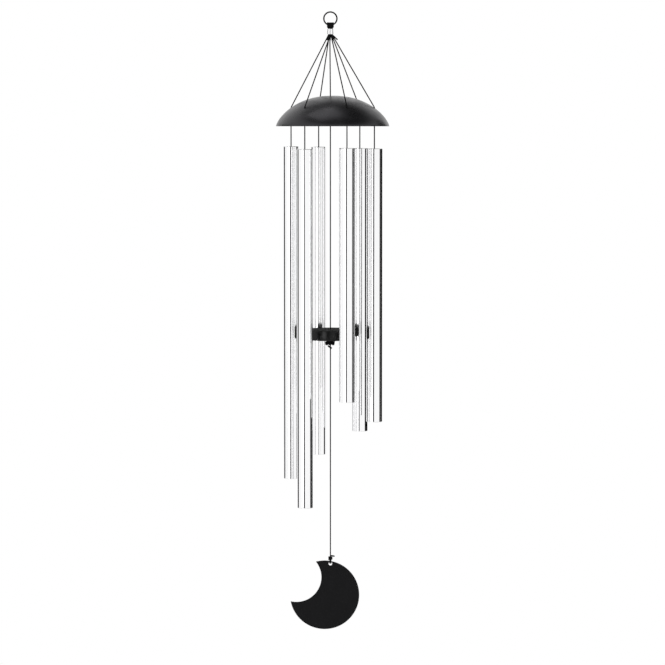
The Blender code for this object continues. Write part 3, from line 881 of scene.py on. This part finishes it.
def make_dome():
    """Spin, drill and coat the dome."""
    centre = middle("dome")
    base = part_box("dome")[0][2]
    outer = dome_curve(0.0)
    inner = dome_curve(measures().dome_wall)[::-1]
    rim = eased([outer[-2], outer[-1], inner[0], inner[1]], DOME_EDGE)[1:-1]
    profile = outer[:-1] + [(spot.x, spot.y) for spot in rim] + inner[1:]
    finish = coated_finish("dome_coating", colours().coating, colours().coating_high,
                           grain=0.0005, depth=0.000012, gloss=colours().dome_gloss,
                           specular=0.5, tint=colours().coating_shine)
    piece = new_piece("spun_dome", turned(profile, 160), finish,
                      (centre.x, centre.y, base))
    rods = []
    for number in range(TUBE_COUNT + 1):
        place = hole_place(number)
        spot = (place[0] - centre.x, place[1] - centre.y)
        rods.append(((*spot, 0.0), (*spot, 2 * span("dome").z), measures().dome_hole / 2))
    drill(piece, rods)
    even_shading(piece)
    mark_rubbed(piece, lambda spot: max(0.0, 1 - spot.z / DOME_RUB))
    fit_piece(piece, "canopy", ["dome"])


# Knots under the dome

def knot_route(width, cord):
    """Return a tight overhand knot's route about its middle."""
    reach = (width - cord) / 2
    route = []
    for turn in arc(60, 0.3, 0.3 + tau):
        across = sin(turn) + 2 * sin(2 * turn)
        rise = cos(turn) - 2 * cos(2 * turn)
        deep = -sin(3 * turn)
        route.append(Vector((across / 3, deep * KNOT_DEPTH, rise / 3)) * reach)
    return route


def make_dome_knots():
    """Tie the knots that hold the cords under the dome."""
    cord, knot = measures().cord, measures().knot
    strand = cord * KNOT_STRAND
    core = [(0, 0, knot * CORE_SHARE), (0, 0, -knot * CORE_SHARE)]
    runs = [(knot_route(knot, strand), strand), (core, cord * KNOT_CORE)]
    for number in range(TUBE_COUNT + 1):
        name = knot_name(number)
        body = f"knot_{number}" if number else "centre_knot"
        cord_piece(f"tied_{name}", body, name, runs, middle(name), number * KNOT_TURN)


# Tubes

def tube_pin_place(number):
    """Return the middle of a tube's cross pin."""
    spot = middle(f"tube_{number}")
    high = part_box(f"tube_{number}")[1][2]
    return Vector((spot.x, spot.y, high - measures().pin_depth))


def make_tubes():
    """Cut, drill and polish the tubes."""
    polish = metal_finish("tube_polish", colours().aluminium, gloss=colours().tube_gloss,
                          spread=0.03, width=0.0005, run=0.6, depth=0.00000004)
    bore_finish = metal_finish("tube_bore", colours().bore, gloss=0.42, spread=0.1,
                               width=0.0003, run=0.05, depth=0.00002)
    for number in range(1, TUBE_COUNT + 1):
        name = f"tube_{number}"
        size = span(name)
        wide = size.x / 2
        top = measures().pin_depth
        foot = top - size.z
        bore = wide - measures().tube_wall
        profile = eased([(wide, top), (wide, foot), (bore, foot), (bore, top)],
                        measures().tube_edge, 5, True)
        piece = new_piece(f"polished_{name}", turned(profile, 96), polish,
                          tube_pin_place(number))
        drill(piece, [((-2 * wide, 0, 0), (2 * wide, 0, 0), measures().pin / 2 + GAP)])
        even_shading(piece)
        piece.data.materials.append(bore_finish)
        inside = bore + measures().tube_wall / 2
        for face in piece.data.polygons:
            if hypot(face.center.x, face.center.y) < inside:
                face.material_index = 1
        fit_piece(piece, f"tube_{number}", [name])


def make_pins():
    """Fit the pin that each tube hangs by."""
    finish = metal_finish("pin_steel", colours().pin, gloss=0.3, spread=0.15,
                          width=0.0002, run=0.001, depth=0.000004)
    radius = measures().pin / 2
    for number in range(1, TUBE_COUNT + 1):
        half = span(f"tube_pin_{number}").x / 2
        profile = eased([(0, half), (radius, half), (radius, -half), (0, -half)],
                        PIN_EDGE, 4, True)
        shape = turned([(max(spot.x, 0.0), spot.y) for spot in profile], 32)
        piece = new_piece(f"cross_pin_{number}", laid(shape, "Y"), finish,
                          tube_pin_place(number))
        fit_piece(piece, f"tube_{number}", [f"tube_pin_{number}"])


def make_tube_cords():
    """Hang a doubled cord from each knot, round its tube's pin."""
    apart = measures().cord / 2 + GAP
    reach = measures().pin / 2 + strand_radius() + GAP / 3
    for number in range(1, TUBE_COUNT + 1):
        knot = middle(knot_name(number))
        pin = tube_pin_place(number)
        under = [(pin.x, pin.y - reach * cos(turn), pin.z - reach * sin(turn))
                 for turn in arc(20, 0, pi)]
        start = knot.z - measures().knot * HANGER_SHARE
        route = [(knot.x, knot.y - apart, start), *under, (knot.x, knot.y + apart, start)]
        cord_piece(f"tube_hanger_{number}", f"cord_{number}", f"tube_cord_{number}",
                   [(route, measures().cord)])


# Striker

def make_striker():
    """Turn and paint the striker."""
    paint = colours().paint
    size = span("striker")
    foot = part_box("striker")[0][2]
    hole = measures().striker_hole / 2
    wide = size.x / 2
    side = [(wide - measures().striker_crown * (2 * part - 1) ** 2, size.z * (1 - part))
            for part in arc(8, 0.0, 1.0)]
    profile = eased([(hole, size.z), *side, (hole, 0)], measures().striker_edge, 6, True)
    high = lighter(paint, 1.7)
    side_finish = coated_finish("striker_side_paint", paint, high, grain=0.0012,
                                depth=0.00002, gloss=0.25, specular=0.20, rub=0.5)
    face_finish = coated_finish("striker_face_paint", paint, high, grain=0.0012,
                                depth=0.00004, gloss=0.8, specular=0.12, rub=0.2)
    piece = new_piece("painted_striker", turned(profile, 160), side_finish, (0, 0, foot))
    piece.data.materials.append(face_finish)
    for face in piece.data.polygons:
        if abs(face.normal.z) > FLAT:
            face.material_index = 1
    even_shading(piece)
    mark_rubbed(piece, lambda spot: float(
        hypot(spot.x, spot.y) > wide - STRIKER_RUB
        and (spot.z > size.z - STRIKER_RUB or spot.z < STRIKER_RUB)))
    fit_piece(piece, "striker", ["striker"])


def make_striker_cord():
    """Run the cord from the dome's middle through the striker."""
    start = middle("centre_knot").z - LINE_BELOW_KNOT
    run = [(0, 0, start), (0, 0, middle("striker_knot").z)]
    cord_piece("striker_line", "striker_cord", "striker_cord",
               [(run, measures().cord)])


def pair_place(turns):
    """Return how far along its core the striker knot's winding has got."""
    whole = int(turns)
    part = turns - whole
    odd = whole % 2
    done = (whole // 2) * BARREL_PAIR + odd * BARREL_STEP
    return -BARREL_HALF + done + part * ((BARREL_PAIR - BARREL_STEP) if odd
                                         else BARREL_STEP)


def striker_knot_route(wrap):
    """Return the core strand, the bend at its left end and the wraps over it."""
    route = [Vector((across, 0, 0)) for across in BARREL_CORE]
    half = WRAP_STEPS // 2
    for step in range(half):
        turn = pi * step / half
        reach = wrap * (1 - cos(turn)) / 2
        across = -BARREL_HALF - BARREL_BEND * sin(turn)
        route.append(Vector((across, -reach * sin(turn), reach * cos(turn))))
    for step in range(int(BARREL_WRAPS * WRAP_STEPS) + 1):
        turn = pi + tau * step / WRAP_STEPS
        route.append(Vector((pair_place(step / WRAP_STEPS),
                             -wrap * sin(turn), wrap * cos(turn))))
    return route


def inner_wraps(reach, first, last, turns, steps=20):
    """Return the under layer of a barrel knot, wound along the X axis."""
    count = round(turns * steps)
    return [Vector((first + (last - first) * step / count,
                    -reach * sin(tau * step / steps),
                    reach * cos(tau * step / steps)))
            for step in range(count + 1)]


def make_striker_knot():
    """Wind the barrel knot that carries the striker."""
    cord = measures().cord
    wrap = span("striker_knot").z / 2 - cord / 2
    under = inner_wraps(wrap * UNDER_SHARE, *UNDER_ENDS, UNDER_WRAPS)
    runs = [(striker_knot_route(wrap), cord * BARREL_SWELL), (under, cord * END_SWELL)]
    cord_piece("wound_striker_knot", "striker_knot", "striker_knot", runs,
               (0, 0, middle("striker_knot").z))


# Sail

def sail_knot_top():
    """Return the height where the sail's cord ends in its knot."""
    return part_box("sail_cord")[0][2] - GAP


def make_sail_cord():
    """Run the cord down to the sail, with its trimmed tail."""
    cord = measures().cord
    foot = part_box("sail_cord")[0][2]
    centre = middle("striker_knot")
    below = centre.z - span("striker_knot").z / 2
    run = [(0, 0, centre.z - cord), (0, 0, foot - LINE_INTO_SAIL_KNOT)]
    tail = [(across, -cord * TAIL_FORWARD, below - depth) for across, depth in LINE_TAIL]
    cord_piece("sail_line", "sail_cord", "sail_cord",
               [(run, cord), (tail, cord * TAIL_SWELL)])


def sail_knot_route():
    """Return three runs: a leg with its loop through the sail, its twin, the wraps."""
    cord = measures().cord
    low, high = corners("sail_knot")
    radius = cord / 2
    straddle = span("sail").y / 2 + GAP + radius
    turning = low.z + radius + straddle
    straddle += (strand_radius() - radius) / 2
    wrap = high.y - radius
    pitch = cord + SAIL_WRAP_GAP
    top = sail_knot_top()
    first = top - cord - pitch * SAIL_WRAPS
    edge = first - LEGS_EDGE
    runs = []
    for across in (-SAIL_LEGS_APART, SAIL_LEGS_APART):
        loop = [(0, 0, top - LEG_BELOW_LINE), (0, 0, edge + LEGS_FORK),
                (across, -straddle, edge + LEGS_CORNER)]
        loop += [(across, -straddle * cos(turn), turning - straddle * sin(turn))
                 for turn in arc(16, 0, pi)]
        loop.append((across, straddle, edge + LEGS_CORNER))
        runs.append(eased(loop, LEGS_BEND))
    wraps = []
    for step in range(round(SAIL_WRAPS * WRAP_STEPS) + 1):
        turn = pi / 2 + tau * step / WRAP_STEPS
        wraps.append(Vector((wrap * cos(turn), wrap * sin(turn),
                             first + pitch * step / WRAP_STEPS)))
    runs[0].append(wraps[0])
    runs[1].append(Vector((0, 0, first + pitch)))
    return *runs, wraps


def sail_knot_tail():
    """Return the bent, trimmed tail that stands out of the sail's knot."""
    cord = measures().cord
    high = corners("sail_knot")[1]
    last = sail_knot_top() - cord
    return [(across, cord / 2 - high.y, last + rise)
            for across, rise in (*SAIL_TAIL, (high.x, SAIL_TAIL_END))]


def make_sail_knot():
    """Wind the knot above the sail, with the loop through its hole."""
    cord = measures().cord
    tail = eased(sail_knot_tail(), TAIL_BEND)
    leg, twin, wraps = sail_knot_route()
    cord_piece("wound_sail_knot", "sail_knot", "sail_knot",
               [(tail, cord * WRAP_SWELL), (leg, cord), (twin, cord),
                (wraps, cord * WRAP_SWELL)])


def sail_middle():
    """Return the middle of the sail's disc and its radius."""
    low, high = corners("sail")
    radius = (high.z - low.z) / 2
    return Vector((high.x - radius, (low.y + high.y) / 2, low.z + radius)), radius


def crescent(radius):
    """Return the crescent's outline about the disc's middle, as (x, z) points."""
    bay, offset = measures().sail_bay / 2, measures().bay_offset
    along = (radius ** 2 - bay ** 2 + offset ** 2) / (2 * offset)
    horn = acos(along / radius)
    bay_horn = acos((offset - along) / bay)
    outline = [Vector((cos(turn), sin(turn))) * radius
               for turn in arc(200, BAY_BEARING - horn, BAY_BEARING + horn - tau)]
    centre = Vector((cos(BAY_BEARING), sin(BAY_BEARING))) * offset
    facing = BAY_BEARING + pi
    for turn in arc(90, facing - bay_horn, facing + bay_horn)[1:-1]:
        outline.append(centre + Vector((cos(turn), sin(turn))) * bay)
    return outline


def make_sail():
    """Cut, drill and coat the crescent sail."""
    coating = colours().sail
    centre, radius = sail_middle()
    half = span("sail").y / 2
    shape = bmesh.new()
    face = shape.faces.new([shape.verts.new((spot.x, half, spot.y))
                            for spot in crescent(radius)])
    grown = bmesh.ops.extrude_face_region(shape, geom=[face])
    moved = [item for item in grown["geom"] if isinstance(item, bmesh.types.BMVert)]
    bmesh.ops.translate(shape, verts=moved, vec=(0, -2 * half, 0))
    bmesh.ops.recalc_face_normals(shape, faces=shape.faces)
    finish = coated_finish("sail_coating", coating, lighter(coating, 1.8), grain=0.0004,
                           depth=0.000008, gloss=0.5, specular=0.12, rub=0.9)
    piece = new_piece("coated_sail", shape, finish, centre)
    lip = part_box("sail_knot")[0][2] + half + GAP + measures().cord
    hole = Vector((0, 0, lip - measures().sail_hole / 2)) - centre
    drill(piece, [((hole.x, -4 * half, hole.z), (hole.x, 4 * half, hole.z),
                   measures().sail_hole / 2)])
    edge = piece.modifiers.new("edge", "BEVEL")
    edge.width = measures().sail_edge
    edge.segments = 3
    edge.limit_method = "ANGLE"
    edge.angle_limit = SHARP_ANGLE
    edge.harden_normals = True
    apply_modifiers(piece)
    mark_rubbed(piece, lambda spot: float(abs(spot.y) < half - SAIL_RUB))
    fit_piece(piece, "sail", ["sail"])


# Camera, floor and light

def make_camera():
    """Set the camera at the photograph's height and distance."""
    camera = bpy.data.objects.new("camera", bpy.data.cameras.new("camera"))
    bpy.context.collection.objects.link(camera)
    camera.data.sensor_width = SENSOR
    camera.data.lens = studio().focus * SENSOR / PHOTO_WIDTH
    camera.data.clip_end = 100.0
    camera.location = (studio().camera_across, -studio().distance, studio().camera_height)
    down = atan((PHOTO_WIDTH / 2 - studio().horizon) / studio().focus)
    camera.rotation_euler = (pi / 2 - down, 0, 0)
    bpy.context.scene.camera = camera


def lamp(name, at, target, wide, power):
    """Add a soft square lamp that points at a target."""
    light = bpy.data.lights.new(name, "AREA")
    light.shape = "RECTANGLE"
    light.size = light.size_y = wide
    light.energy = power
    made = bpy.data.objects.new(name, light)
    made.location = at
    made.rotation_euler = (Vector(at) - Vector(target)).to_track_quat("Z", "Y").to_euler()
    bpy.context.collection.objects.link(made)


def flag_mask(tree, bearing, middle_angle, half, soft):
    """Return 1 away from a dark upright flag and 0 in the middle of it."""
    apart = calc(tree, "ABSOLUTE", calc(tree, "SUBTRACT", bearing, middle_angle))
    return ramp(tree, apart, half - soft, half + soft)


def plainly_seen(tree, path):
    """Return 1 for a ray that the camera sends straight or through glass."""
    return calc(tree, "MAXIMUM", path.outputs["Is Camera Ray"],
                path.outputs["Is Transmission Ray"])


def make_surroundings():
    """White surroundings, with dark upright flags that only gloss shows."""
    world = bpy.data.worlds.new("studio")
    bpy.context.scene.world = world
    world.use_nodes = True
    tree = world.node_tree
    tree.nodes.clear()
    heading = node(tree, "ShaderNodeTexCoord").outputs["Generated"]
    way = node(tree, "ShaderNodeSeparateXYZ", heading)
    front = calc(tree, "MULTIPLY", way.outputs[1], -1.0)
    bearing = calc(tree, "DEGREES", calc(tree, "ARCTAN2", way.outputs[0], front))
    mask = 1.0
    for flag in FLAGS:
        mask = calc(tree, "MULTIPLY", mask, flag_mask(tree, bearing, *flag))
    above = ramp(tree, way.outputs[2], *FLAGS_END)
    mask = calc(tree, "MAXIMUM", mask, above)
    towards = node(tree, "ShaderNodeVectorMath", heading, Vector(CEILING).normalized(),
                   operation="DOT_PRODUCT").outputs["Value"]
    ceiling = ramp(tree, towards, *CEILING_EDGE, 1.0, studio().ceiling)
    mask = calc(tree, "MULTIPLY", mask, ceiling)
    level = calc(tree, "MAXIMUM", mask, studio().flag_dark)
    # What a reflection shows of a reflection is even, or it would speckle.
    path = node(tree, "ShaderNodeLightPath")
    deep = calc(tree, "GREATER_THAN", path.outputs["Glossy Depth"], FIRST_DEPTH)
    change = calc(tree, "SUBTRACT", studio().repeated, level)
    change = calc(tree, "MULTIPLY", change, deep)
    level = calc(tree, "ADD", level, change)
    # Matt surfaces get an even fill, and only gloss shows the flags.
    change = calc(tree, "SUBTRACT", level, studio().fill)
    change = calc(tree, "MULTIPLY", change, path.outputs["Is Glossy Ray"])
    level = calc(tree, "ADD", change, studio().fill)
    level = calc(tree, "MAXIMUM", level, plainly_seen(tree, path))
    background = node(tree, "ShaderNodeBackground", (*WHITE, 1.0), level)
    output = tree.nodes.new("ShaderNodeOutputWorld")
    feed(tree, output.inputs["Surface"], background.outputs[0])


def make_floor():
    """Lay a pale floor that fades into the white surroundings."""
    shape = bmesh.new()
    bmesh.ops.create_circle(shape, cap_ends=True, segments=96, radius=3.0)
    material, tree, shader = new_finish("pale_floor")
    set_up(shader, Base_Color=(0.93, 0.93, 0.93, 1.0), Roughness=0.9,
           Specular_IOR_Level=0.1)
    away = node(tree, "ShaderNodeVectorMath", own_place(tree),
                operation="LENGTH").outputs["Value"]
    path = node(tree, "ShaderNodeLightPath")
    seen = calc(tree, "MAXIMUM", plainly_seen(tree, path), path.outputs["Is Glossy Ray"])
    fade = calc(tree, "MULTIPLY", seen, ramp(tree, away, *FLOOR_FADE))
    white = node(tree, "ShaderNodeEmission", (*WHITE, 1.0), 1.0)
    first = node(tree, "ShaderNodeMixShader", fade, shader.outputs[0], white.outputs[0])
    through = tree.nodes.new("ShaderNodeBsdfTransparent")
    under = tree.nodes.new("ShaderNodeNewGeometry").outputs["Backfacing"]
    last = node(tree, "ShaderNodeMixShader", under, first.outputs[0], through.outputs[0])
    to_surface(tree, last.outputs[0])
    floor = new_piece("pale_floor", shape, material, (0, 0, studio().floor))


def make_flag():
    """Stand a dark flag behind the right-hand tubes, which only gloss shows."""
    shape = bmesh.new()
    near, far = (Vector(end) for end in FLAG_ENDS)
    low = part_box("dome")[0][2]
    below, above = FLAG_RISE
    outline = [(0.0, studio().floor), (1.0, studio().floor), (1.0, FLAG_TOP),
               (above, FLAG_TOP), (below, low), (0.0, low)]
    spots = [(*near.lerp(far, part), height) for part, height in outline]
    shape.faces.new([shape.verts.new(spot) for spot in spots])
    material, tree, shader = new_finish("dark_flag")
    set_up(shader, Base_Color=(0.004, 0.004, 0.004, 1.0), Roughness=1.0,
           Specular_IOR_Level=0.0)
    through = tree.nodes.new("ShaderNodeBsdfTransparent")
    path = node(tree, "ShaderNodeLightPath")
    last = node(tree, "ShaderNodeMixShader", path.outputs["Is Glossy Ray"],
                through.outputs[0], shader.outputs[0])
    to_surface(tree, last.outputs[0])
    new_piece("dark_flag", shape, material)


def make_lamps():
    """Place the soft lamps over the dome and at the left."""
    lamp("overhead", at=(-0.25, -0.1, 1.3), target=(0, 0, -0.2), wide=1.0,
         power=studio().overhead)
    lamp("left_side", at=(-1.74, -2.78, -0.7), target=(0, 0, -0.576), wide=1.2,
         power=studio().side)


def make(*makers):
    """Run makers in order, and return what an operator has to."""
    for maker in makers:
        maker()
    return {"FINISHED"}


class CHIME_OT_stage(bpy.types.Operator):
    """Set the camera, the pale floor, the white surroundings and the lamps"""
    bl_idname = "chime.stage"
    bl_label = "Set the stage"

    def execute(self, context):
        return make(make_camera, make_surroundings, make_floor, make_flag, make_lamps)


class CHIME_OT_hanger(bpy.types.Operator):
    """Make the hang ring, the sleeve and the cords down to the dome"""
    bl_idname = "chime.hanger"
    bl_label = "Make the hanger"

    def execute(self, context):
        return make(make_ring, make_sleeve, make_upper_cords)


class CHIME_OT_dome(bpy.types.Operator):
    """Make the dome and the knots under it"""
    bl_idname = "chime.dome"
    bl_label = "Make the dome"

    def execute(self, context):
        return make(make_dome, make_dome_knots)


class CHIME_OT_tubes(bpy.types.Operator):
    """Make the tubes, their pins and their cords"""
    bl_idname = "chime.tubes"
    bl_label = "Make the tubes"

    def execute(self, context):
        return make(make_tubes, make_pins, make_tube_cords)


class CHIME_OT_striker(bpy.types.Operator):
    """Make the striker, its cord and its wound knot"""
    bl_idname = "chime.striker"
    bl_label = "Make the striker"

    def execute(self, context):
        return make(make_striker, make_striker_cord, make_striker_knot)


class CHIME_OT_sail(bpy.types.Operator):
    """Make the crescent sail, its cord and its wound knot"""
    bl_idname = "chime.sail"
    bl_label = "Make the sail"

    def execute(self, context):
        return make(make_sail_cord, make_sail_knot, make_sail)


class CHIME_PT_panel(bpy.types.Panel):
    """Lists the chime's operators and sizes in the sidebar"""
    bl_idname = "CHIME_PT_panel"
    bl_label = "Chime"
    bl_space_type = "VIEW_3D"
    bl_region_type = "UI"
    bl_category = "Chime"

    def draw(self, context):
        for operator in OPERATORS:
            self.layout.operator(operator.bl_idname)
        for group in (context.scene.chime_sizes, context.scene.chime_colours,
                      context.scene.chime_studio):
            box = self.layout.box()
            for name in group.__annotations__:
                box.prop(group, name)


GROUPS = {"chime_sizes": ChimeSizes, "chime_colours": ChimeColours,
          "chime_studio": ChimeStudio}
OPERATORS = (CHIME_OT_stage, CHIME_OT_hanger, CHIME_OT_dome, CHIME_OT_tubes,
             CHIME_OT_striker, CHIME_OT_sail)


def register():
    """Register the sizes, the operators and the panel."""
    for name, group in GROUPS.items():
        bpy.utils.register_class(group)
        setattr(bpy.types.Scene, name, PointerProperty(type=group))
    for operator in OPERATORS:
        bpy.utils.register_class(operator)
    bpy.utils.register_class(CHIME_PT_panel)


def unregister():
    """Remove what register adds."""
    bpy.utils.unregister_class(CHIME_PT_panel)
    for operator in reversed(OPERATORS):
        bpy.utils.unregister_class(operator)
    for name, group in GROUPS.items():
        delattr(bpy.types.Scene, name)
        bpy.utils.unregister_class(group)


def main():
    """Build every piece in order."""
    register()
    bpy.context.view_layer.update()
    bpy.context.scene.view_settings.view_transform = "Standard"
    bpy.ops.chime.stage()
    bpy.ops.chime.hanger()
    bpy.ops.chime.dome()
    bpy.ops.chime.tubes()
    bpy.ops.chime.striker()
    bpy.ops.chime.sail()


if __name__ == "__main__":
    main()
